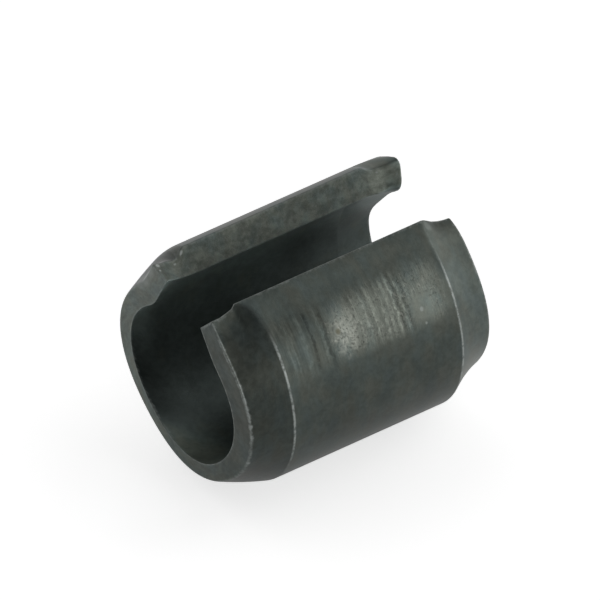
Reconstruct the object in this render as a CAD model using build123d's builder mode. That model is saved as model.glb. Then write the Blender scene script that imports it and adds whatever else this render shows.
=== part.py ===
"""Slotted spring pin: one strip of spring steel rolled into a C, with both ends pressed in.

The pin lies along X with its slot upward. The origin is under the middle of the pin, on the
surface that it lies on. Angles around the section are measured from straight up and grow
towards -Y, so the slot runs from -half_slot, at its rear lip, to +half_slot, at its front lip.
"""

import os
from collections import namedtuple
from math import asin, cos, degrees, hypot, pi, radians, sin

from build123d import *

# A size that varies around the ring: its mean, what is added at the front (-Y) side, at the
# top, at top and bottom alike, and halfway between them on one diagonal, and how strongly it
# follows the jaws of the pressing tool.
Around = namedtuple("Around", "mean front top upright skew jaws")

# A lip at its end face. press: how far its outer corner is pressed in. depth: how far its
# inner corner lies below that, as a share of the wall. lean_out and lean_in: angles by which
# its outer and inner corners reach into the slot. spread_out and spread_in: angles over which
# its outside and inside bend out of the ring. start and stop: shares of the swage at which
# its outer corner begins to bend in, and at which it is fully pressed.
Lip = namedtuple("Lip", "press depth lean_out lean_in spread_out spread_in start stop")

# The part of an end beside its rear lip that the tool hardly reached. press and wall: as for
# the end. hold: angle from the lip over which it keeps these. reach: angle at which it ends.
Shoulder = namedtuple("Shoulder", "press wall hold reach")

# A pressed end. swage: length from crease to end face. press: how far the outside is pressed
# in at the end face. wall: thickness there, as a share of the rolled wall. hollow: how far
# its slope sags below a straight cone, as a share of the press.
End = namedtuple("End", "swage press wall hollow front_lip rear_lip shoulder")

# Driving dimensions, in millimetres and degrees.
free_diameter = 8.6  # outside, before the pin is driven into its hole
pin_length = 10.0  # over both end faces
wall = 1.05  # thickness of the rolled strip
slot_width = 3.75  # open gap between the outer corners of the two lips
edge_break = 0.06  # rounding along both edges of each end face

left_end = End(
    swage=1.64,
    press=Around(mean=0.525, front=-0.112, top=-0.025, upright=0.11, skew=-0.03, jaws=-0.081),
    wall=Around(mean=0.781, front=0.20, top=0.25, upright=-0.03, skew=0.029, jaws=0.024),
    hollow=-0.06,
    front_lip=Lip(
        press=0.14,
        depth=0.88,
        lean_out=-3.0,
        lean_in=2.4,
        spread_out=26.0,
        spread_in=32.0,
        start=0.35,
        stop=0.75,
    ),
    rear_lip=Lip(
        press=0.0,
        depth=0.41,
        lean_out=5.5,
        lean_in=17.0,
        spread_out=21.0,
        spread_in=32.0,
        start=0.25,
        stop=0.75,
    ),
    shoulder=None,
)
right_end = End(
    swage=1.44,
    press=Around(mean=0.447, front=0.153, top=-0.121, upright=0.0, skew=0.0, jaws=-0.096),
    wall=Around(mean=0.63, front=-0.05, top=0.05, upright=0.0, skew=0.0, jaws=-0.03),
    hollow=0.12,
    front_lip=Lip(
        press=0.64,
        depth=0.78,
        lean_out=-1.0,
        lean_in=0.0,
        spread_out=16.0,
        spread_in=22.0,
        start=0.05,
        stop=0.85,
    ),
    rear_lip=Lip(
        press=0.06,
        depth=1.09,
        lean_out=10.0,
        lean_in=7.0,
        spread_out=9.0,
        spread_in=12.0,
        start=0.1,
        stop=0.55,
    ),
    shoulder=Shoulder(press=0.04, wall=1.23, hold=22.0, reach=62.0),
)

# How finely the pressed form is drawn.
end_stations = 5  # sections from the crease to the end face
contour_steps = 28  # steps along one side of a section
jaw_count = 4

# Worked out from the sizes above.
body_radius = free_diameter / 2
half_slot = degrees(asin(slot_width / 2 / body_radius))
full_turn = 360.0
left_crease = left_end.swage - pin_length / 2
right_crease = pin_length / 2 - right_end.swage


def section_point(radius, angle):
    """Point of a cross-section, at a radius and an angle around the barrel's axis."""
    return (-radius * sin(radians(angle)), body_radius + radius * cos(radians(angle)))


def smooth_step(value, start, stop):
    """Goes smoothly from 0 where the value is at start to 1 where it is at stop."""
    share = min(1.0, max(0.0, (value - start) / (stop - start)))
    return share**2 * (3 - 2 * share)


def size_around(size, angle):
    """Value at an angle of a size that varies around the ring."""
    turn = radians(angle)
    sides = size.front * sin(turn) + size.top * cos(turn)
    pairs = size.upright * cos(2 * turn) + size.skew * sin(2 * turn)
    return size.mean + sides + pairs + size.jaws * cos(jaw_count * turn)


def pressed_ring(end, angle):
    """Press and wall of an end's ring at an angle, at its end face, with its shoulder."""
    press = size_around(end.press, angle)
    wall_share = size_around(end.wall, angle)
    if end.shoulder:
        rear_gap = full_turn - half_slot - angle
        held = smooth_step(rear_gap, end.shoulder.reach, end.shoulder.hold)
        press += held * (end.shoulder.press - press)
        wall_share += held * (end.shoulder.wall - wall_share)
    return press, wall_share


def end_edge_radius(end):
    """Rounding of an end face's edges, held to a quarter of its thinnest wall."""
    sides = hypot(end.wall.front, end.wall.top)
    pairs = hypot(end.wall.upright, end.wall.skew)
    thinnest = end.wall.mean - sides - pairs - abs(end.wall.jaws)
    return min(edge_break, wall * thinnest / 4)


def pressed_contour(ring_radius, front, rear):
    """One side of a pressed section: a ring whose two ends spring out to given lip corners."""
    front_radius, front_angle, front_spread = front
    rear_radius, rear_angle, rear_spread = rear
    points = []
    for step in range(contour_steps + 1):
        share = (1 - cos(pi * step / contour_steps)) / 2
        angle = front_angle + (rear_angle - front_angle) * share
        front_bend = max(0.0, 1 - (angle - front_angle) / front_spread) ** 2
        rear_bend = max(0.0, 1 - (rear_angle - angle) / rear_spread) ** 2
        radius = ring_radius(angle)
        radius += front_bend * (front_radius - ring_radius(front_angle))
        radius += rear_bend * (rear_radius - ring_radius(rear_angle))
        points.append(section_point(radius, angle))
    Spline(*points)


def pressed_section(end, way):
    """Closed outline of the section at a share of the way from a crease to its end face."""
    ring_share = way + end.hollow * way * (1 - way) * 4
    lean_share = way**2

    def outside(angle):
        return body_radius - ring_share * pressed_ring(end, angle)[0]

    def inside(angle):
        return outside(angle) - wall * (1 + ring_share * (pressed_ring(end, angle)[1] - 1))

    outer_corners, inner_corners = [], []
    for lip, side, turn in ((end.front_lip, 1, 0.0), (end.rear_lip, -1, full_turn)):
        outer_radius = body_radius - smooth_step(way, lip.start, lip.stop) * lip.press
        inner_radius = outer_radius - wall * (1 + lean_share * (lip.depth - 1))
        outer_angle = turn + side * (half_slot - lean_share * lip.lean_out)
        inner_angle = turn + side * (half_slot - lean_share * lip.lean_in)
        outer_corners.append((outer_radius, outer_angle, lip.spread_out))
        inner_corners.append((inner_radius, inner_angle, lip.spread_in))
    pressed_contour(outside, *outer_corners)
    pressed_contour(inside, *inner_corners)
    for (outer_radius, outer_angle, _), (inner_radius, inner_angle, _) in zip(outer_corners, inner_corners):
        Line(section_point(outer_radius, outer_angle), section_point(inner_radius, inner_angle))


def rolled_section():
    """Closed outline of the barrel's C-shaped section."""
    for radius in (body_radius, body_radius - wall):
        ThreePointArc(
            section_point(radius, half_slot),
            section_point(radius, full_turn / 2),
            section_point(radius, full_turn - half_slot),
        )
    for angle in (half_slot, full_turn - half_slot):
        Line(section_point(body_radius, angle), section_point(body_radius - wall, angle))


with BuildPart() as spring_pin:
    with BuildSketch(Plane.YZ.offset(left_crease)):
        with BuildLine():
            rolled_section()
        make_face()
    extrude(amount=right_crease - left_crease)

    for end, crease, outward in ((left_end, left_crease, -1), (right_end, right_crease, 1)):
        with BuildSketch(Plane.YZ.offset(crease)):
            with BuildLine():
                rolled_section()
            make_face()
        for station in range(1, end_stations + 1):
            way = station / end_stations
            with BuildSketch(Plane.YZ.offset(crease + outward * way * end.swage)):
                with BuildLine():
                    pressed_section(end, way)
                make_face()
        loft()

    for side, end in ((0, left_end), (-1, right_end)):
        end_face = faces().sort_by(Axis.X)[side]
        fillet(end_face.edges(), radius=end_edge_radius(end))

spring_pin.part.label = "spring_pin"
os.makedirs("parts", exist_ok=True)
export_step(spring_pin.part, "parts/spring_pin.step")
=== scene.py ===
"""Slotted spring pin: the detailed mesh, its black-oxide steel, and a plain studio.

The pin's surface is one strip of spring steel, drawn as a rounded box in the strip's own flat
coordinates (along the strip, through its wall, along the pin) and then rolled into its C. The
strip begins at the slot's front lip, goes down round the front, and ends at the rear lip.
Sizes are in millimetres until the mesh is made. Angles around the section are measured from
straight up and grow towards -Y, the front. The left end is at -X.
"""

import math
from collections import namedtuple
from functools import partial, reduce
from types import SimpleNamespace

import bpy
import numpy as np
from mathutils import Matrix, Vector


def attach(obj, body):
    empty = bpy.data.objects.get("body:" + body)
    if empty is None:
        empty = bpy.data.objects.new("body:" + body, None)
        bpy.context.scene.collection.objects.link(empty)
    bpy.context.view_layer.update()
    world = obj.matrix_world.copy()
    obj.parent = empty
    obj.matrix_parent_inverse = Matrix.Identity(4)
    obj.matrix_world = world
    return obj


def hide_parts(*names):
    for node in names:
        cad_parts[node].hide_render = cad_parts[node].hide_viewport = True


MM = 0.001

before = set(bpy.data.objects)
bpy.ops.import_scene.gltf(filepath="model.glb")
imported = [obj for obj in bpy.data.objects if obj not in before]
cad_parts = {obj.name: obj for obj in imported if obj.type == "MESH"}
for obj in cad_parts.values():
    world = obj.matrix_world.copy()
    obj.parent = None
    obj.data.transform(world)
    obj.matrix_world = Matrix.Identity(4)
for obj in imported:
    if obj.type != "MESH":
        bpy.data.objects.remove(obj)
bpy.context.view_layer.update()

# ---------------------------------------------------------------- sizes of the pin, in mm

BODY_RADIUS = 4.3
LENGTH = 10.0
WALL = 1.05
SLOT_WIDTH = 3.75
FULL_TURN = 360.0
HALF_TURN = FULL_TURN / 2
JAWS = 4  # of the pressing tool

HALF_SLOT = math.degrees(math.asin(SLOT_WIDTH / 2 / BODY_RADIUS))
HALF_WALL = WALL / 2
HALF_LENGTH = LENGTH / 2
HALF_STRIP = math.radians(HALF_TURN - HALF_SLOT) * (BODY_RADIUS - HALF_WALL)

# A size that varies around the ring: its mean, what is added at the front, at the top, at top
# and bottom alike, and halfway between them on one diagonal, and how strongly it follows the
# jaws of the pressing tool.
Around = namedtuple("Around", "mean front top upright skew jaws")

# A lip. outer, inner: paths of its two corners, as (distance from the end face, radius, angle
# reached into the slot). spread_out, spread_in: angles over which it bends out of the ring.
# bend: 1 for a flat bevel, 2 for a lip that springs out in a curve. pull: how much nearer to
# the end face the crease meets the lip. pull_spread: angle over which the crease runs out so.
Lip = namedtuple("Lip", "outer inner spread_out spread_in bend pull pull_spread")

# Columns of a path's points.
DISTANCE, RADIUS, REACH = range(3)

# Part of the ring beside a lip that the tool hardly pressed: paths of its outer and inner
# radius, the angle from the lip over which it holds them, and the angle at which it ends.
Shoulder = namedtuple("Shoulder", "outer inner flat reach")

# A pressed end. face: its place along the pin. swage: length from crease to end face. press:
# how far the outside is pressed in at the end face. wall: thickness there, as a share of the
# rolled wall. hollow: how far its slope sags below a straight cone, as a share of the press.
End = namedtuple("End", "face swage press wall hollow front_lip rear_lip shoulder")

LEFT = End(
    face=-HALF_LENGTH,
    swage=1.64,
    press=Around(0.525, -0.112, -0.025, 0.11, -0.03, -0.081),
    wall=Around(0.781, 0.20, 0.25, -0.03, 0.029, 0.024),
    hollow=-0.06,
    front_lip=Lip(
        outer=(
            (1.02, 4.30, 0),
            (0.92, 4.235, -1.5),
            (0.64, 4.20, -2.3),
            (0.35, 4.165, -3),
            (0, 4.16, -3),
        ),
        inner=((1.1, 3.25, 0), (0, 3.23, 2.4)),
        spread_out=26,
        spread_in=32,
        bend=2,
        pull=0.64,
        pull_spread=5.5,
    ),
    rear_lip=Lip(
        outer=(
            (1.50, 4.30, 0),
            (1.31, 4.19, 0),
            (1.21, 4.04, 0),
            (0.97, 3.985, 0.5),
            (0.69, 4.09, 1.5),
            (0.42, 4.15, 3),
            (0.20, 4.24, 4.5),
            (0, 4.30, 5.5),
        ),
        inner=(
            (1.7, 3.25, 0),
            (1.3, 3.28, 1),
            (0.9, 3.36, 3.3),
            (0.5, 3.53, 8),
            (0.2, 3.73, 13.2),
            (0, 3.85, 17),
        ),
        spread_out=21,
        spread_in=32,
        bend=2,
        pull=0.50,
        pull_spread=18,
    ),
    shoulder=None,
)
RIGHT = End(
    face=HALF_LENGTH,
    swage=1.44,
    press=Around(0.447, 0.153, -0.121, 0.0, 0.0, -0.096),
    wall=Around(0.63, -0.05, 0.05, 0.0, 0.0, -0.03),
    hollow=0.12,
    front_lip=Lip(
        outer=(
            (1.24, 4.30, 0),
            (1.05, 4.16, -0.3),
            (0.83, 3.96, -0.5),
            (0.53, 3.79, -0.8),
            (0.25, 3.70, -1),
            (0, 3.66, -1),
        ),
        inner=((1.2, 3.25, 0), (0.6, 3.04, 0), (0, 2.86, 0)),
        spread_out=16,
        spread_in=22,
        bend=2,
        pull=0.16,
        pull_spread=8,
    ),
    rear_lip=Lip(
        outer=(
            (1.22, 4.30, 0),
            (1.05, 4.17, 0.5),
            (0.89, 4.10, 1),
            (0.58, 4.09, 3),
            (0.36, 4.17, 6.5),
            (0.19, 4.28, 9),
            (0, 4.36, 11),
        ),
        inner=((1.2, 3.25, 0), (0.6, 3.16, 2), (0.3, 3.11, 4.5), (0, 3.06, 6.5)),
        spread_out=13,
        spread_in=12,
        bend=1,
        pull=0.0,
        pull_spread=8,
    ),
    shoulder=Shoulder(
        outer=((0.80, 4.30), (0.32, 4.28), (0, 4.26)),
        inner=((1.4, 3.25), (0.7, 3.12), (0, 2.94)),
        flat=22,
        reach=62,
    ),
)

# Softness of the creases, as a share of the swage: their least, and what is added at the
# front lip and at the rear one, with the angles from the lip between which that fades.
CRISP_CREASE = 0.03
SOFT_FRONT = 0.05
SOFT_FRONT_FADE = (34, 8)
SOFT_REAR = 0.24
SOFT_REAR_FADE = (60, 18)

# Rounding of the strip's edges: its outside and its inside, its inside at the rear lip, and both
# at the right end of that lip, which is rolled round. It reaches END_EDGE at most along the pin.
OUTER_EDGE = 0.065
INNER_EDGE = 0.035
REAR_INNER_EDGE = 0.06
ROLLED_OUTER = 0.30
ROLLED_INNER = 0.42
END_EDGE = 0.10
WALL_BLEND = (-0.2, 0.2)  # from the inside's rounding to the outside's, through the wall
REAR_LIP = (HALF_STRIP - 1.3, HALF_STRIP - 0.5)  # where the rear lip begins, along the strip
RIGHT_TIP = (4.1, 4.75)  # where its right end begins, along the pin


def smooth(value, low, high):
    """0 at low, 1 at high, and a smooth step between."""
    t = np.clip((value - low) / (high - low), 0, 1)
    return t * t * (3 - 2 * t)


def mixed(first, second, share):
    """The first value where the share is 0, and the second where it is 1."""
    return first + share * (second - first)


def around(size, angle):
    """Value at an angle of a size that varies around the ring."""
    turn = np.radians(angle)
    sides = size.front * np.sin(turn) + size.top * np.cos(turn)
    pairs = size.upright * np.cos(2 * turn) + size.skew * np.sin(2 * turn)
    return size.mean + sides + pairs + size.jaws * np.cos(JAWS * turn)


def along_path(path, column, distance):
    """One column of a path's points, at distances from the end face."""
    near_first = path[::-1]
    places = [point[DISTANCE] for point in near_first]
    values = [point[column] for point in near_first]
    return np.interp(distance, places, values)


def lip_gaps(angle):
    """Angles from the front lip and from the rear one."""
    return np.maximum(angle - HALF_SLOT, 0), np.maximum(FULL_TURN - HALF_SLOT - angle, 0)


def local_swage(end, angle):
    """Length from crease to end face at an angle: the crease runs out towards the lips."""
    front_gap, rear_gap = lip_gaps(angle)
    swage = end.swage - end.front_lip.pull * np.exp(-front_gap / end.front_lip.pull_spread)
    return swage - end.rear_lip.pull * np.exp(-rear_gap / end.rear_lip.pull_spread)


def crease_share(end, distance, angle):
    """How much of the press the ring has taken: 0 before the crease, 1 at the end face."""
    front_gap, rear_gap = lip_gaps(angle)
    soft = CRISP_CREASE + SOFT_FRONT * smooth(front_gap, *SOFT_FRONT_FADE)
    soft = soft + SOFT_REAR * smooth(rear_gap, *SOFT_REAR_FADE)
    way = 1 - distance / local_swage(end, angle)
    turned = np.clip(way + soft, 0, 2 * soft) ** 2 / (4 * soft)
    way = np.where(way < soft, turned, way)
    sag = 4 * way * (1 - way)  # 0 at both ends of the way, 1 in the middle
    return way + end.hollow * sag


def ring_radii(end, distance, angle):
    """Outer and inner radius of the pressed ring, without its lips."""
    share = crease_share(end, distance, angle)
    outer = BODY_RADIUS - share * around(end.press, angle)
    inner = outer - WALL * (1 + share * (around(end.wall, angle) - 1))
    if end.shoulder:
        rear_gap = FULL_TURN - HALF_SLOT - angle
        held = smooth(rear_gap, end.shoulder.reach, end.shoulder.flat)
        outer = mixed(outer, along_path(end.shoulder.outer, RADIUS, distance), held)
        inner = mixed(inner, along_path(end.shoulder.inner, RADIUS, distance), held)
    return outer, inner


def end_section(end, distance, share):
    """Outer and inner points (y, z) of the section at shares of the way along the strip."""
    front, rear = end.front_lip, end.rear_lip
    points = []
    sides = (
        (front.outer, rear.outer, front.spread_out, rear.spread_out),
        (front.inner, rear.inner, front.spread_in, rear.spread_in),
    )
    for side, (front_path, rear_path, front_spread, rear_spread) in enumerate(sides):
        start = HALF_SLOT - along_path(front_path, REACH, distance)
        stop = FULL_TURN - HALF_SLOT + along_path(rear_path, REACH, distance)
        angle = start + (stop - start) * share
        radius = ring_radii(end, distance, angle)[side]
        front_bend = np.clip(1 - (angle - start) / front_spread, 0, 1) ** front.bend
        rear_bend = np.clip(1 - (stop - angle) / rear_spread, 0, 1) ** rear.bend
        front_lift = along_path(front_path, RADIUS, distance) - ring_radii(end, distance, start)[side]
        rear_lift = along_path(rear_path, RADIUS, distance) - ring_radii(end, distance, stop)[side]
        radius = radius + front_bend * front_lift + rear_bend * rear_lift
        turn = np.radians(angle)
        points.append((-radius * np.sin(turn), BODY_RADIUS + radius * np.cos(turn)))
    return points


def roll_up(flat):
    """Rolls points of the flat strip into a C, and gives their places (x, y, z)."""
    along, depth, x = flat.T
    share = along / (2 * HALF_STRIP) + 0.5
    inward = (HALF_WALL - depth) / WALL
    rolled = np.empty_like(flat)
    rolled[:, 0] = x
    for end, here in ((LEFT, x < 0), (RIGHT, x >= 0)):
        distance = np.abs(end.face - x[here])
        outside, inside = end_section(end, distance, share[here])
        for axis in (0, 1):
            rolled[here, 1 + axis] = mixed(outside[axis], inside[axis], inward[here])
    return rolled


# ---------------------------------------------------------------- mesh

EDGE_LINES = (0.0, 0.02, 0.04, 0.065, 0.10, 0.15, 0.21, 0.28)  # rows that follow an edge
CREASE_LINES = (-0.14, -0.08, -0.045, -0.02, 0.0, 0.02, 0.045, 0.08, 0.14)
STRIP_STEP = 0.088
PIN_STEP = 0.076
WALL_STEP = 0.09
QUAD_CORNERS = ((0, 0), (1, 0), (1, 1), (0, 1))


def lines_across(half, step, extra=()):
    """Places of the mesh rows between -half and +half: dense at both edges, and at extras."""
    inner = half - EDGE_LINES[-1]
    count = max(2, round(2 * inner / step))
    places = [-half + line for line in EDGE_LINES] + [half - line for line in EDGE_LINES]
    for place in np.linspace(-inner, inner, count + 1)[1:-1]:
        if all(abs(place - near) > step / 2 for near in extra):
            places.append(place)
    places.extend(extra)
    return np.array(sorted(places))


def box_side(rows, fixed, last, vertex):
    """Quads of the box's first or last side across one direction, facing outward."""
    first, second = (fixed + 1) % 3, (fixed + 2) % 3
    index = [0, 0, 0]
    index[fixed] = len(rows[fixed]) - 1 if last else 0
    quads = []
    for i in range(len(rows[first]) - 1):
        for j in range(len(rows[second]) - 1):
            ring = []
            for step_i, step_j in QUAD_CORNERS:
                index[first], index[second] = i + step_i, j + step_j
                ring.append(vertex(tuple(index)))
            quads.append(ring if last else ring[::-1])
    return quads


def box_grid():
    """Vertices and quads of a closed box in strip coordinates, with its mesh rows."""
    creases = [end.face - math.copysign(end.swage, end.face) for end in (LEFT, RIGHT)]
    crease_rows = [crease + line for crease in creases for line in CREASE_LINES]
    rows = (
        lines_across(HALF_STRIP, STRIP_STEP),
        lines_across(HALF_WALL, WALL_STEP),
        lines_across(HALF_LENGTH, PIN_STEP, crease_rows),
    )
    numbers, vertices = {}, []

    def vertex(index):
        if index not in numbers:
            numbers[index] = len(vertices)
            vertices.append([rows[axis][index[axis]] for axis in range(3)])
        return numbers[index]

    quads = []
    for fixed in range(3):
        for last in (False, True):
            quads.extend(box_side(rows, fixed, last, vertex))
    return np.array(vertices), quads


def edge_radii(flat):
    """Rounding at each point along the strip's three directions."""
    along, depth, x = flat.T
    outward = smooth(depth, *WALL_BLEND)
    at_rear = smooth(along, *REAR_LIP)
    radius = mixed(INNER_EDGE, REAR_INNER_EDGE, at_rear)
    radius = mixed(radius, OUTER_EDGE, outward)
    rolled = mixed(ROLLED_INNER, ROLLED_OUTER, outward)
    radius = mixed(radius, rolled, at_rear * smooth(x, *RIGHT_TIP))
    return np.stack([radius, radius, np.minimum(radius, END_EDGE)], axis=1)


def round_edges(flat):
    """Moves points of the box onto its rounded edges, and gives the way that each one faces."""
    half = np.array([HALF_STRIP, HALF_WALL, HALF_LENGTH])
    radii = edge_radii(flat)
    core = np.clip(flat, -(half - radii), half - radii)
    out = (flat - core) / radii
    facing = out / np.linalg.norm(out, axis=1, keepdims=True)
    return core + radii * facing, facing


def past_crease(flat):
    """Distance in mm from the nearer crease, towards its end face."""
    along, _, x = flat.T
    angle = HALF_SLOT + 2 * (HALF_TURN - HALF_SLOT) * (along / (2 * HALF_STRIP) + 0.5)
    past = np.empty(len(flat))
    for end, here in ((LEFT, x < 0), (RIGHT, x >= 0)):
        past[here] = local_swage(end, angle[here]) - np.abs(end.face - x[here])
    return past


def keep_values(mesh, name, kind, values):
    """Keeps a value at each vertex, for the material to read."""
    layer = mesh.attributes.new(name, kind, "POINT")
    field = "vector" if kind == "FLOAT_VECTOR" else "value"
    layer.data.foreach_set(field, np.ascontiguousarray(values, dtype=np.float32).ravel())


def add_to_scene(name, data):
    """A new object of the scene, with its data."""
    made = bpy.data.objects.new(name, data)
    bpy.context.scene.collection.objects.link(made)
    return made


def make_pin():
    flat, quads = box_grid()
    flat, facing = round_edges(flat)
    points = roll_up(flat)
    mesh = bpy.data.meshes.new("pin")
    mesh.from_pydata((points * MM).tolist(), [], quads)
    mesh.update()
    mesh.shade_smooth()
    keep_values(mesh, "strip", "FLOAT_VECTOR", flat)
    keep_values(mesh, "facing", "FLOAT_VECTOR", facing)
    keep_values(mesh, "past_crease", "FLOAT", past_crease(flat))
    mesh.materials.append(oxide_steel())
    return add_to_scene("pin", mesh)


# ---------------------------------------------------------------- node trees

# A noise texture. stretch: how much finer it is in each direction of the flat strip.
Noise = namedtuple("Noise", "scale detail roughness stretch distortion", defaults=(None, 0.0))

# Sockets of a Mix node: its share, and its two numbers or its two colours.
MIX_NUMBERS = (0, 2, 3)
MIX_COLOURS = (0, 6, 7)


class Nodes:
    """Builds a node tree. Values may be numbers, colours or sockets."""

    def __init__(self, tree):
        self.tree = tree

    def make(self, kind, inputs=(), **settings):
        """A node with its settings made and its inputs, by name or number, filled."""
        made = self.tree.nodes.new("ShaderNode" + kind)
        for name, value in settings.items():
            setattr(made, name, value)
        for name, value in dict(inputs).items():
            self.put(value, made.inputs[name])
        return made

    def put(self, value, socket):
        if isinstance(value, bpy.types.NodeSocket):
            self.tree.links.new(value, socket)
        else:
            socket.default_value = value

    def math(self, operation, first, second=0.0, third=0.0):
        return self.make("Math", {0: first, 1: second, 2: third}, operation=operation).outputs[0]

    def times(self, *values):
        return reduce(partial(self.math, "MULTIPLY"), values)

    def plus(self, *values):
        return reduce(partial(self.math, "ADD"), values)

    def largest(self, *values):
        return reduce(partial(self.math, "MAXIMUM"), values)

    def unsigned(self, value):
        """A value without its sign."""
        return self.math("ABSOLUTE", value)

    def swing(self, texture, width):
        """A texture around 0.5, brought to a width around 0."""
        return self.math("MULTIPLY_ADD", texture, width, -width / 2)

    def less(self, value, share=1.0):
        """1, less a share of a value."""
        return self.math("MULTIPLY_ADD", value, -share, 1.0)

    def middle(self, first, second, third):
        """The middle one of three values."""
        larger = self.math("MINIMUM", self.math("MAXIMUM", first, second), third)
        return self.math("MAXIMUM", self.math("MINIMUM", first, second), larger)

    def ramp(self, value, low, high, start=0.0, stop=1.0):
        """A smooth step from start, where the value is at low, to stop, where it is at high."""
        inputs = {"Value": value, "From Min": low, "From Max": high, "To Min": start, "To Max": stop}
        return self.make("MapRange", inputs, interpolation_type="SMOOTHSTEP").outputs["Result"]

    def within(self, value, window):
        """1 inside a window of four rising values, with smooth sides."""
        rise, full, last_full, fall = window
        return self.times(self.ramp(value, rise, full), self.ramp(value, fall, last_full))

    def vector(self, operation, first, second=(0.0, 0.0, 0.0)):
        return self.make("VectorMath", {0: first, 1: second}, operation=operation)

    def gap_in(self, place, centre, size):
        """Distance from a centre, as a share of the size in each direction."""
        gap = self.vector("SUBTRACT", place, centre).outputs[0]
        gap = self.vector("DIVIDE", gap, size).outputs[0]
        return self.vector("LENGTH", gap).outputs["Value"]

    def near(self, place, centre, radius, core):
        """1 within a core, as a share of the radius around a centre, and 0 at the radius."""
        gap = self.vector("DISTANCE", place, centre).outputs["Value"]
        return self.ramp(gap, radius, radius * core)

    def noise(self, place, texture):
        if texture.stretch:
            place = self.vector("MULTIPLY", place, texture.stretch).outputs[0]
        inputs = {
            "Vector": place,
            "Scale": texture.scale,
            "Detail": texture.detail,
            "Roughness": texture.roughness,
            "Distortion": texture.distortion,
        }
        return self.make("TexNoise", inputs).outputs["Fac"]

    def attribute(self, name, output="Vector"):
        return self.make("Attribute", attribute_name=name).outputs[output]

    def blend(self, share, first, second):
        """The first number where the share is 0, and the second where it is 1."""
        made = self.make("Mix", data_type="FLOAT")
        for value, socket in zip((share, first, second), MIX_NUMBERS):
            self.put(value, made.inputs[socket])
        return made.outputs[0]

    def tint(self, share, first, second, mode="MIX"):
        """The first colour where the share is 0, and the second where it is 1."""
        made = self.make("Mix", data_type="RGBA", blend_type=mode)
        colours = [(*c, 1) if isinstance(c, tuple) else c for c in (first, second)]
        for value, socket in zip((share, *colours), MIX_COLOURS):
            self.put(value, made.inputs[socket])
        return made.outputs[2]


# ---------------------------------------------------------------- oxide steel
#
# Places are in strip coordinates: along the strip, through its wall, along the pin. A step is
# (from, to) of the value that it reads, with what it gives there where that isn't 0 and 1. A
# window is four values: where it begins to rise, is full, begins to fall, and has ended.

OXIDE = (0.083, 0.098, 0.089)
WARM_OXIDE = (0.090, 0.097, 0.083)
COOL_OXIDE = (0.079, 0.096, 0.092)
RUBBED_STEEL = (0.42, 0.437, 0.385)
# Bare steel, with painted highlights, on the creases, edges and nicks.
BARE_STEEL_AND_HIGHLIGHT = (0.385, 0.415, 0.40)
RUST = (0.10, 0.095, 0.055)

TEXTURES = {
    "cloud": Noise(0.75, 3, 0.55),
    "hue": Noise(1.3, 2, 0.5, stretch=(0.8, 1.0, 1.4)),
    "mottle": Noise(5.0, 4, 0.62, distortion=0.4),
    "grain": Noise(24.0, 3, 0.65),
    "drawn": Noise(1.0, 3, 0.6, stretch=(0.30, 1.0, 7.5)),
    "hairs": Noise(1.0, 4, 0.7, stretch=(1.6, 1.0, 21.0), distortion=0.5),
    "flakes": Noise(7.0, 3, 0.7, stretch=(0.9, 1.0, 1.2)),
    "specks": Noise(11.0, 2, 0.5),
    "beads": Noise(6.5, 2, 0.6),
    "fine_beads": Noise(15.0, 2, 0.6),
    "sheared": Noise(2.6, 4, 0.66),
    "wobble": Noise(1.0, 3, 0.6, stretch=(3.0, 1.0, 1.0)),
}

# Sides of the strip, by the way that its surface faces, and the part past a crease.
FACES_OUT = (0.35, 0.8)
FACES_IN = (-0.35, -0.8)
FACES_SLOT = (0.5, 0.85)
FACES_END = (0.5, 0.85)
PRESSED_FROM = (-0.03, 0.06)

# The band that the tool has scuffed, the spot worn nearly bare in it, and a spot rubbed smooth.
BAND_ALONG = (-9.35, -8.45, -7.55, -7.00)
BAND_X = (-1.60, -0.50, 2.80, 3.60)
WEAR_CENTRE = (-8.00, HALF_WALL, -0.72)
WEAR_SIZE = (0.95, 1.0, 0.80)
WEAR_FADE = (1.0, 0.1)
WEAR_RAGGED = 1.5
SMOOTH_CENTRE = (-7.65, HALF_WALL, 2.28)
SMOOTH_SIZE = (0.60, 1.0, 0.50)
SMOOTH_FADE = (1.1, 0.7)
SMOOTH_UNSCRATCHED = 0.8
SMOOTH_LIGHTER = 0.12
SCUFFED_HAIRS = (0.50, 0.66, 0.0, 0.4)
SCUFFED_FLAKES = (0.52, 0.7, 0.0, 0.7)
PITTED_SPECKS = (0.44, 0.34)
PITS_DARKER = 0.22

# The stretch that draw marks cross, how they break up, and how far they wander.
MARKED_ALONG = (-9.3, -8.8, -7.5, -7.0)
MARKED_X = (-3.5, -3.1, 2.8, 3.4)
MARKS_BROKEN = (0.36, 0.60, 0.25, 1.25)
MARKS_WANDER = 0.3
MARK_CORE = 0.3  # share of a mark's half width that shows in full
DRAWN_LINES = (0.30, 0.70, -1.0, 1.0)
DRAWN_OUTSIDE = 0.02
DRAWN_MARKED = 0.10

# Single draw marks across the band: place along the pin, half width, and how much lighter.
STREAKS = (
    (-2.95, 0.09, 0.26),
    (-2.76, 0.07, 0.24),
    (-2.31, 0.12, 0.32),
    (-2.01, 0.09, -0.32),
    (-1.59, 0.08, 0.36),
    (-1.44, 0.10, -0.34),
    (-0.24, 0.09, -0.30),
    (0.20, 0.07, 0.22),
    (0.52, 0.08, 0.30),
    (0.90, 0.09, 0.30),
    (1.14, 0.07, 0.36),
    (1.35, 0.07, 0.60),
    (1.50, 0.08, -0.40),
    (1.65, 0.07, 0.40),
    (1.80, 0.09, -0.32),
)
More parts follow.
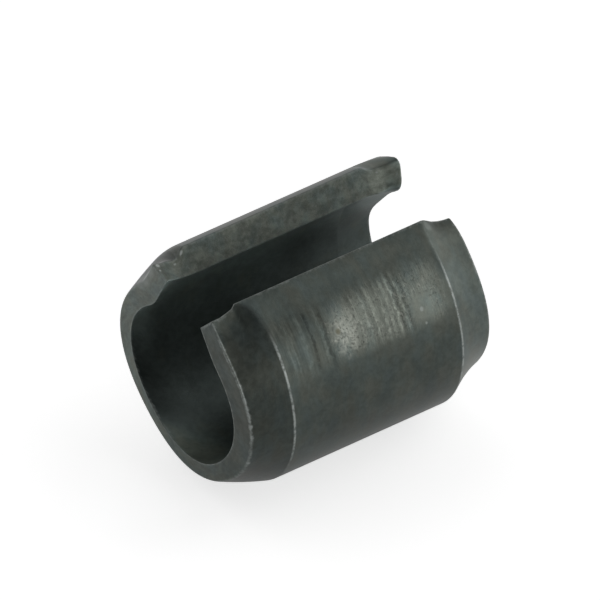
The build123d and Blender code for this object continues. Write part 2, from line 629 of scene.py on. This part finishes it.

# Bright nicks, bare steel with painted glints: place, radius and how much of it shows.
NICKS_AND_GLINTS = (
    ((HALF_STRIP, 0.38, -4.82), 0.13, 1.0),
    ((HALF_STRIP, 0.10, -4.88), 0.08, 0.9),
    ((HALF_STRIP - 0.05, 0.30, -4.02), 0.10, 0.9),
    ((HALF_STRIP, 0.42, -3.64), 0.10, 1.0),
    ((HALF_STRIP, 0.36, 4.26), 0.05, 0.9),
    ((HALF_STRIP, 0.05, 4.80), 0.05, 0.8),
    ((-7.93, HALF_WALL, -4.97), 0.09, 0.55),
    ((-7.12, HALF_WALL, -4.97), 0.08, 0.5),
    ((-6.52, HALF_WALL, -4.97), 0.10, 0.6),
    ((-4.88, HALF_WALL, -4.97), 0.11, 0.55),
    ((-8.43, HALF_WALL, -3.36), 0.08, 0.5),
    ((-7.68, HALF_WALL, 2.27), 0.10, 0.45),
    ((-7.22, HALF_WALL, 2.30), 0.06, 0.4),
    ((-9.93, HALF_WALL, 3.83), 0.22, 0.14),
    ((9.80, HALF_WALL, -4.8), 0.50, 0.42),
    ((9.25, HALF_WALL, -4.9), 0.50, 0.38),
    ((8.70, HALF_WALL, -4.95), 0.40, 0.30),
)
NICK_CORE = 0.35  # share of a nick's radius that shows in full

RUST_SPOT = (-8.09, HALF_WALL, -0.98)
RUST_RADIUS = 0.13
RUST_SHARE = 0.7

# Bare steel and a painted highlight on a crease: its line, the stretch where it is lit most, and its
# share elsewhere.
CREASE_LINE = (0.068, 0.005)
CREASE_RAGGED = 0.05
CREASE_BEADS = (0.36, 0.56, 0.30, 0.95)
# The stretch of the creases where the painted highlight is strongest.
CREASE_LIT_STRETCH = (-9.1, -7.8, -5.4, -3.4)
CREASE_LEAST = 0.10

# Bare steel and a painted highlight along an edge: its line, and how much of it shows by the place.
EDGE_LINE = (0.115, 0.0)
EDGE_RAGGED = -0.14
EDGE_FINE_RAGGED = -0.06
EDGE_BY_X = (-4.8, -4.2, 0.60, 0.40)
EDGE_BY_BEADS = (0.40, 0.60, 0.62, 1.0)
EDGE_BY_ALONG = (-6.4, -4.6, 1.0, 0.6)

# Bare steel spread over a surface: in speckles everywhere, more of them on the sheared sides,
# in the scuffed band, and in the worn spot.
SPECKLED_GRAIN = (0.62, 0.74)
SPECKLED = 0.05
SPECKLED_MORE = {"cut": 0.35, "end": 0.25}
SPECKLE_SHARE = 0.6
SCUFF_SHARE = 0.42
WORN_SPECKS = (0.30, 0.66, 0.34, 0.74)

# How much lighter the oxide is painted than on the plain barrel: on a side of the strip, by the place
# along the strip and along the pin. This is partly the finish of the sheared sides, and partly
# painted light and shade.
# Painted light in the bore's mouth at the left end's front, and painted shade inside its rear.
PAINTED_MOUTH_ALONG = (2.3, 0.0, -0.45, 1.9)
PAINTED_MOUTH_X = (-3.0, -4.9)
# The sheared sides are lighter, partly by their finish and partly by painted light.
SIDES_FINISH_AND_PAINTED_LIGHT = {"bore": -0.08, "cut": 0.68, "end": 0.28, "pressed": -0.04}
# Painted light and shade by place; in the scuffed band, partly wear.
PLACES_PAINTED_LIGHT_AND_WEAR = (
    # Painted light in the upper rear of the bore: up to the lip, more in its left half, and inside
    # the left end.
    ("bore", (6.5, 8.2, 0.0, 1.2), None),
    ("bore", (4.6, 7.4, 0.0, 2.0), (0.2, 2.2, 1.0, 0.0)),
    ("bore", (3.6, 6.6, 0.0, 2.4), (-3.6, -4.8)),
    # Painted light on the right ends of the slot's faces, and painted light and shade on the end
    # faces from the front round to the rear.
    ("cut", None, (3.4, 4.6, 0.0, 1.7)),
    ("end", (-6.0, 3.0, -0.32, 0.45), None),
    # Painted light and shade on the right end's press, and on both ends' at the front: lighter at the
    # left lip and darker at the right one, and the other way round below them.
    ("pressed", None, (-1.0, 1.0, 0.0, 0.27)),
    ("pressed", (-9.3, -6.6, 1.0, -1.0), (-1.0, 1.0, 0.24, -0.26)),
    # The scuffed band, from its lower side to its upper one: partly wear, and partly a painted
    # highlight.
    ("band", (-7.2, -8.7, 0.66, 1.10), None),
)

# How much lighter or darker its textures make it.
CLOUDED = (0.30, 0.70, 0.90, 1.10)
MOTTLED = (0.30, 0.70, 0.88, 1.12)
SHEARED = (0.34, 0.66, 0.78, 1.24)
SHEARED_END = 0.6  # next to the slot's faces

# Its hue: above the middle it turns warm, below it cool.
# The painted light in the bore's mouth also turns it warm.
HUE_SHIFTS = {"cut": 0.08, "bore": -0.25, "mouth_painted_light": 0.22, "band": 0.12}
TURNS_WARM = (0.40, 0.68, 0.0, 0.8)
TURNS_COOL = (0.48, 0.28, 0.0, 0.8)

# Roughness of the barrel, and what is added to it.
ROUGHNESS = 0.36
ROUGHER = {"bore": 0.14, "cut": 0.24, "end": 0.12, "band": 0.06}
ROUGH_TEXTURES = {"mottle": 0.12, "grain": 0.10}

# Relief: the height of one unit, and the units of each texture on its sides.
RELIEF = 0.004 * MM
GRAIN_HEIGHT, GRAIN_CUT_HEIGHT = 0.5, 1.1
MOTTLE_HEIGHT, MOTTLE_CUT_HEIGHT = 0.8, 2.5
DRAWN_HEIGHT, DRAWN_MARKED_HEIGHT = 0.35, 1.9
HAIR_HEIGHT = 1.4
PIT_HEIGHT = -1.0


def read_surface(nodes):
    """What the mesh keeps at a point, and how far the point belongs to each side of the strip."""
    strip = nodes.attribute("strip")
    along, depth, x = nodes.make("SeparateXYZ", {0: strip}).outputs
    to_slot, outward, to_end = nodes.make("SeparateXYZ", {0: nodes.attribute("facing")}).outputs
    past = nodes.attribute("past_crease", "Fac")
    outside = nodes.ramp(outward, *FACES_OUT)
    sides = {
        "outside": outside,
        "bore": nodes.ramp(outward, *FACES_IN),
        "cut": nodes.ramp(nodes.unsigned(to_slot), *FACES_SLOT),
        "end": nodes.ramp(nodes.unsigned(to_end), *FACES_END),
        "pressed": nodes.times(outside, nodes.ramp(past, *PRESSED_FROM)),
        "band": nodes.times(outside, nodes.within(along, BAND_ALONG), nodes.within(x, BAND_X)),
    }
    return SimpleNamespace(strip=strip, along=along, depth=depth, x=x, past=past, sides=sides)


def read_wear(nodes, at, texture):
    """How far a point is worn, rubbed smooth, scratched, scuffed, pitted and marked by drawing."""
    outside, band = at.sides["outside"], at.sides["band"]
    worn = nodes.gap_in(at.strip, WEAR_CENTRE, WEAR_SIZE)
    worn = nodes.plus(worn, nodes.swing(texture.mottle, WEAR_RAGGED))
    worn = nodes.times(outside, nodes.ramp(worn, *WEAR_FADE))
    smoothed = nodes.gap_in(at.strip, SMOOTH_CENTRE, SMOOTH_SIZE)
    smoothed = nodes.times(outside, nodes.ramp(smoothed, *SMOOTH_FADE))
    scratched = nodes.times(band, nodes.less(smoothed, SMOOTH_UNSCRATCHED))
    hairs = nodes.ramp(texture.hairs, *SCUFFED_HAIRS)
    flakes = nodes.ramp(texture.flakes, *SCUFFED_FLAKES)
    pits = nodes.ramp(texture.specks, *PITTED_SPECKS)
    marked = nodes.times(outside, nodes.within(at.along, MARKED_ALONG), nodes.less(smoothed))
    return SimpleNamespace(
        worn=worn,
        smoothed=smoothed,
        scratched=scratched,
        scuffed=nodes.times(scratched, nodes.plus(hairs, flakes)),
        pits=nodes.times(nodes.plus(scratched, worn), pits),
        marked=nodes.times(marked, nodes.within(at.x, MARKED_X)),
    )


def crease_wear_and_highlight(nodes, at, texture):
    """Bare steel and a painted highlight in a ragged line on each crease."""
    gap = nodes.plus(at.past, nodes.swing(texture.fine_beads, CREASE_RAGGED))
    line = nodes.times(at.sides["outside"], nodes.ramp(nodes.unsigned(gap), *CREASE_LINE))
    lit_stretch = nodes.times(nodes.within(at.along, CREASE_LIT_STRETCH), 1 - CREASE_LEAST)
    beads = nodes.ramp(texture.beads, *CREASE_BEADS)
    return nodes.times(line, beads, nodes.plus(CREASE_LEAST, lit_stretch))


def edge_wear_and_highlight(nodes, at, texture):
    """Bare steel and a painted highlight in a ragged line along each edge, which the nearest two
    sides' gaps find.
    """
    gap = nodes.middle(
        nodes.math("SUBTRACT", HALF_STRIP, nodes.unsigned(at.along)),
        nodes.math("SUBTRACT", HALF_WALL, nodes.unsigned(at.depth)),
        nodes.math("SUBTRACT", HALF_LENGTH, nodes.unsigned(at.x)),
    )
    ragged = nodes.swing(texture.beads, EDGE_RAGGED)
    fine = nodes.swing(texture.fine_beads, EDGE_FINE_RAGGED)
    return nodes.times(
        nodes.ramp(nodes.plus(gap, ragged, fine), *EDGE_LINE),
        nodes.ramp(at.x, *EDGE_BY_X),
        nodes.ramp(texture.beads, *EDGE_BY_BEADS),
        nodes.ramp(at.along, *EDGE_BY_ALONG),
    )


def nick_wear_and_glints(nodes, at):
    """Bare steel with a painted glint in each nick."""
    for place, radius, amount in NICKS_AND_GLINTS:
        yield nodes.times(nodes.near(at.strip, place, radius, NICK_CORE), amount)


def rubbed_steel(nodes, at, texture, wear):
    """Steel that shows through the oxide in speckles, in the scuffed band and in the worn spot."""
    more = [nodes.times(at.sides[side], share) for side, share in SPECKLED_MORE.items()]
    speckles = nodes.times(nodes.ramp(texture.grain, *SPECKLED_GRAIN), nodes.plus(*more, SPECKLED))
    return nodes.largest(
        nodes.times(wear.scuffed, SCUFF_SHARE),
        nodes.times(speckles, SPECKLE_SHARE),
        nodes.times(wear.worn, nodes.ramp(texture.specks, *WORN_SPECKS)),
    )


def painted_bore_mouth_light(nodes, at):
    """How much painted light lightens the bore inside the left end's front, and painted shade darkens
    it inside its rear.
    """
    by_x = nodes.ramp(at.x, *PAINTED_MOUTH_X)
    return nodes.times(at.sides["bore"], by_x, nodes.ramp(at.along, *PAINTED_MOUTH_ALONG))


def finish_and_painted_light_by_place(nodes, at, wear, mouth_painted_light):
    """How light the oxide is painted at a place, next to the plain barrel: partly its finish and
    wear, partly painted light and shade.
    """
    # Painted light and shade by side and by place, partly finish and wear.
    shades = [mouth_painted_light]
    for side, lighter in SIDES_FINISH_AND_PAINTED_LIGHT.items():
        shades.append(nodes.times(at.sides[side], lighter))
    for side, by_along, by_x in PLACES_PAINTED_LIGHT_AND_WEAR:
        lighter = at.sides[side]
        if by_along:
            lighter = nodes.times(lighter, nodes.ramp(at.along, *by_along))
        if by_x:
            lighter = nodes.times(lighter, nodes.ramp(at.x, *by_x))
        shades.append(lighter)
    return nodes.plus(*shades, nodes.times(wear.smoothed, SMOOTH_LIGHTER), 1.0)


def draw_marks(nodes, at, texture, wear):
    """How much lighter or darker the draw marks make a point: fine ones, and the single streaks."""
    fine = nodes.times(at.sides["outside"], DRAWN_OUTSIDE)
    fine = nodes.plus(fine, nodes.times(wear.marked, DRAWN_MARKED))
    marks = nodes.plus(1.0, nodes.times(nodes.ramp(texture.drawn, *DRAWN_LINES), fine))
    place = nodes.plus(at.x, nodes.swing(texture.wobble, MARKS_WANDER))
    broken = nodes.times(wear.marked, nodes.ramp(texture.flakes, *MARKS_BROKEN))
    for centre, width, amount in STREAKS:
        gap = nodes.unsigned(nodes.math("SUBTRACT", place, centre))
        mark = nodes.ramp(gap, width, width * MARK_CORE)
        marks = nodes.plus(marks, nodes.times(mark, broken, amount))
    return marks


def oxide_shade(nodes, at, texture, wear, mouth_painted_light):
    """Brightness of the oxide: its finish and painted light and shade by its place, its textures, its
    draw marks and its pits.
    """
    sheared = nodes.plus(at.sides["cut"], nodes.times(at.sides["end"], SHEARED_END))
    return nodes.times(
        finish_and_painted_light_by_place(nodes, at, wear, mouth_painted_light),
        nodes.ramp(texture.cloud, *CLOUDED),
        nodes.ramp(texture.mottle, *MOTTLED),
        nodes.blend(sheared, 1.0, nodes.ramp(texture.sheared, *SHEARED)),
        draw_marks(nodes, at, texture, wear),
        nodes.less(wear.pits, PITS_DARKER),
    )


def oxide_hue(nodes, at, texture, mouth_painted_light):
    """Colour of the oxide on the plain barrel, turned warm or cool."""
    places = {**at.sides, "mouth_painted_light": mouth_painted_light}
    shifts = [nodes.times(places[name], shift) for name, shift in HUE_SHIFTS.items()]
    hue = nodes.plus(texture.hue, *shifts)
    colour = nodes.tint(nodes.ramp(hue, *TURNS_WARM), OXIDE, WARM_OXIDE)
    return nodes.tint(nodes.ramp(hue, *TURNS_COOL), colour, COOL_OXIDE)


def steel_colour(nodes, at, texture, wear):
    """The oxide with its painted light and shade, the steel that shows through it, bare steel with
    painted highlights, and the rust spot.
    """
    # Painted light and shade in the bore's mouth.
    mouth_painted_light = painted_bore_mouth_light(nodes, at)
    shade = oxide_shade(nodes, at, texture, wear, mouth_painted_light)
    grey = nodes.make("CombineColor", {"Red": shade, "Green": shade, "Blue": shade}).outputs[0]
    colour = nodes.tint(1.0, oxide_hue(nodes, at, texture, mouth_painted_light), grey, "MULTIPLY")
    colour = nodes.tint(rubbed_steel(nodes, at, texture, wear), colour, RUBBED_STEEL)
    # Bare steel with painted highlights on the creases, edges and nicks.
    lines = (crease_wear_and_highlight(nodes, at, texture), edge_wear_and_highlight(nodes, at, texture))
    colour = nodes.tint(nodes.largest(*lines, *nick_wear_and_glints(nodes, at)), colour, BARE_STEEL_AND_HIGHLIGHT)
    rust = nodes.near(at.strip, RUST_SPOT, RUST_RADIUS, NICK_CORE)
    return nodes.tint(nodes.times(rust, RUST_SHARE), colour, RUST)


def steel_roughness(nodes, at, texture):
    sides = [nodes.times(at.sides[side], rougher) for side, rougher in ROUGHER.items()]
    swings = [nodes.swing(getattr(texture, name), width) for name, width in ROUGH_TEXTURES.items()]
    return nodes.plus(ROUGHNESS, *sides, *swings)


def steel_relief(nodes, at, texture, wear):
    """Height of the surface: grain and mottling, deeper where it is sheared, marks and pits."""
    cut, outside = at.sides["cut"], at.sides["outside"]
    grain = nodes.plus(GRAIN_HEIGHT, nodes.times(cut, GRAIN_CUT_HEIGHT))
    mottle = nodes.plus(MOTTLE_HEIGHT, nodes.times(cut, MOTTLE_CUT_HEIGHT))
    drawn = nodes.times(outside, DRAWN_HEIGHT)
    drawn = nodes.plus(drawn, nodes.times(wear.marked, DRAWN_MARKED_HEIGHT))
    return nodes.plus(
        nodes.times(texture.grain, grain),
        nodes.times(texture.mottle, mottle),
        nodes.times(texture.drawn, drawn),
        nodes.times(texture.hairs, wear.scratched, HAIR_HEIGHT),
        nodes.times(wear.pits, PIT_HEIGHT),
    )


def oxide_steel():
    """Black-oxide spring steel: mottled, drawn along the strip, rubbed bare at its edges, with
    painted light, shade and highlights.
    """
    material = bpy.data.materials.new("oxide_steel")
    material.use_nodes = True
    nodes = Nodes(material.node_tree)
    at = read_surface(nodes)
    textures = {name: nodes.noise(at.strip, kind) for name, kind in TEXTURES.items()}
    texture = SimpleNamespace(**textures)
    wear = read_wear(nodes, at, texture)
    relief = steel_relief(nodes, at, texture, wear)
    bump = nodes.make("Bump", {"Strength": 1.0, "Distance": RELIEF, "Height": relief})
    shader = material.node_tree.nodes["Principled BSDF"]
    shader.inputs["Metallic"].default_value = 1.0
    nodes.put(steel_colour(nodes, at, texture, wear), shader.inputs["Base Color"])
    nodes.put(steel_roughness(nodes, at, texture), shader.inputs["Roughness"])
    nodes.put(bump.outputs["Normal"], shader.inputs["Normal"])
    return material


# ---------------------------------------------------------------- stage, lights and camera

FRAME_WIDTH = 20.36 * MM
CAMERA_DISTANCE = 0.8
CAMERA_TARGET = Vector((0.226, 0.577, 4.963)) * MM
TO_CAMERA = Vector((-0.43, -0.6813, 0.5923)).normalized()
CAMERA_RIGHT = Vector((0.8246, -0.5636, -0.0496))
SENSOR = 36.0
CLIP_FACTOR = 10  # the camera sees from a tenth of its distance to ten times that

WHITE = (1.0, 1.0, 1.0, 1.0)
FLOOR_HALF = 60 * MM
FLOOR_COLOUR = (0.85, 0.85, 0.85, 1)
FLOOR_GLOW = 0.65  # added where the camera sees the floor, so that it shows white
FLOOR_MIRRORED = 0.23  # added where the pin mirrors it

# The room is dim towards the front and a white wall towards the rear, by the direction's y.
ROOM_LIGHT = 0.06
WALL_LIGHT = 0.76
WALL_FROM = -0.1
WALL_TO = 0.6

# Soft boxes: heading from the front (-Y) towards +X, elevation, and radiance.
SOFT_BOXES = ((-38, 17, 1.8), (30, 12, 1.45), (38, 44, 0.30), (82, 6, 1.75), (76, 45, 1.2))
BOX_FULL = 0.97  # cosine of the angle within which a box shines fully
BOX_ENDS = 0.87


def make_camera():
    data = bpy.data.cameras.new("camera")
    data.sensor_width = SENSOR
    data.lens = SENSOR * CAMERA_DISTANCE / FRAME_WIDTH
    data.clip_start = CAMERA_DISTANCE / CLIP_FACTOR
    data.clip_end = CAMERA_DISTANCE * CLIP_FACTOR
    camera = add_to_scene("camera", data)
    right = (CAMERA_RIGHT - TO_CAMERA * CAMERA_RIGHT.dot(TO_CAMERA)).normalized()
    up = TO_CAMERA.cross(right)
    turn = Matrix((right, up, TO_CAMERA)).transposed().to_4x4()
    camera.matrix_world = Matrix.Translation(CAMERA_TARGET + TO_CAMERA * CAMERA_DISTANCE) @ turn
    bpy.context.scene.camera = camera


def floor_material():
    """White to the camera and pale in the pin's reflections, with the pin's shadow on it."""
    material = bpy.data.materials.new("white_floor")
    material.use_nodes = True
    material.node_tree.nodes.clear()
    nodes = Nodes(material.node_tree)
    ray = nodes.make("LightPath").outputs
    shown = nodes.times(ray["Is Camera Ray"], FLOOR_GLOW)
    mirrored = nodes.times(ray["Is Glossy Ray"], FLOOR_MIRRORED)
    glow = nodes.make("Emission", {"Strength": nodes.plus(mirrored, shown)})
    diffuse = nodes.make("BsdfDiffuse", {"Color": FLOOR_COLOUR})
    both = nodes.make("AddShader", {0: diffuse.outputs[0], 1: glow.outputs[0]})
    nodes.make("OutputMaterial", {"Surface": both.outputs[0]})
    return material


def make_floor():
    half = FLOOR_HALF
    corners = [(-half, -half, 0), (half, -half, 0), (half, half, 0), (-half, half, 0)]
    mesh = bpy.data.meshes.new("floor")
    mesh.from_pydata(corners, [], [(0, 1, 2, 3)])
    mesh.materials.append(floor_material())
    add_to_scene("floor", mesh)


def soft_box(nodes, direction, heading, elevation, radiance):
    """Light of one soft box, by the direction."""
    turn, rise = math.radians(heading), math.radians(elevation)
    towards = (math.sin(turn) * math.cos(rise), -math.cos(turn) * math.cos(rise), math.sin(rise))
    nearness = nodes.vector("DOT_PRODUCT", direction, towards).outputs["Value"]
    return nodes.ramp(nearness, BOX_ENDS, BOX_FULL, 0.0, radiance)


def make_world():
    """White to the camera; to the pin, a white wall behind it and soft boxes before it."""
    world = bpy.data.worlds.new("studio")
    bpy.context.scene.world = world
    world.use_nodes = True
    world.node_tree.nodes.clear()
    nodes = Nodes(world.node_tree)
    direction = nodes.make("TexCoord").outputs["Generated"]
    rearward = nodes.make("SeparateXYZ", {0: direction}).outputs["Y"]
    light = nodes.ramp(rearward, WALL_FROM, WALL_TO, ROOM_LIGHT, WALL_LIGHT)
    light = nodes.plus(light, *(soft_box(nodes, direction, *box) for box in SOFT_BOXES))
    lit = nodes.make("Background", {"Strength": light})
    seen = nodes.make("Background", {"Color": WHITE, "Strength": 1.0})
    is_seen = nodes.make("LightPath").outputs["Is Camera Ray"]
    mix = nodes.make("MixShader", {0: is_seen, 1: lit.outputs[0], 2: seen.outputs[0]})
    nodes.make("OutputWorld", {"Surface": mix.outputs[0]})


# ---------------------------------------------------------------- the scene

pin = make_pin()
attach(pin, "root")
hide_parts("spring_pin")

make_floor()
make_world()
make_camera()
bpy.context.scene.view_settings.view_transform = "Standard"
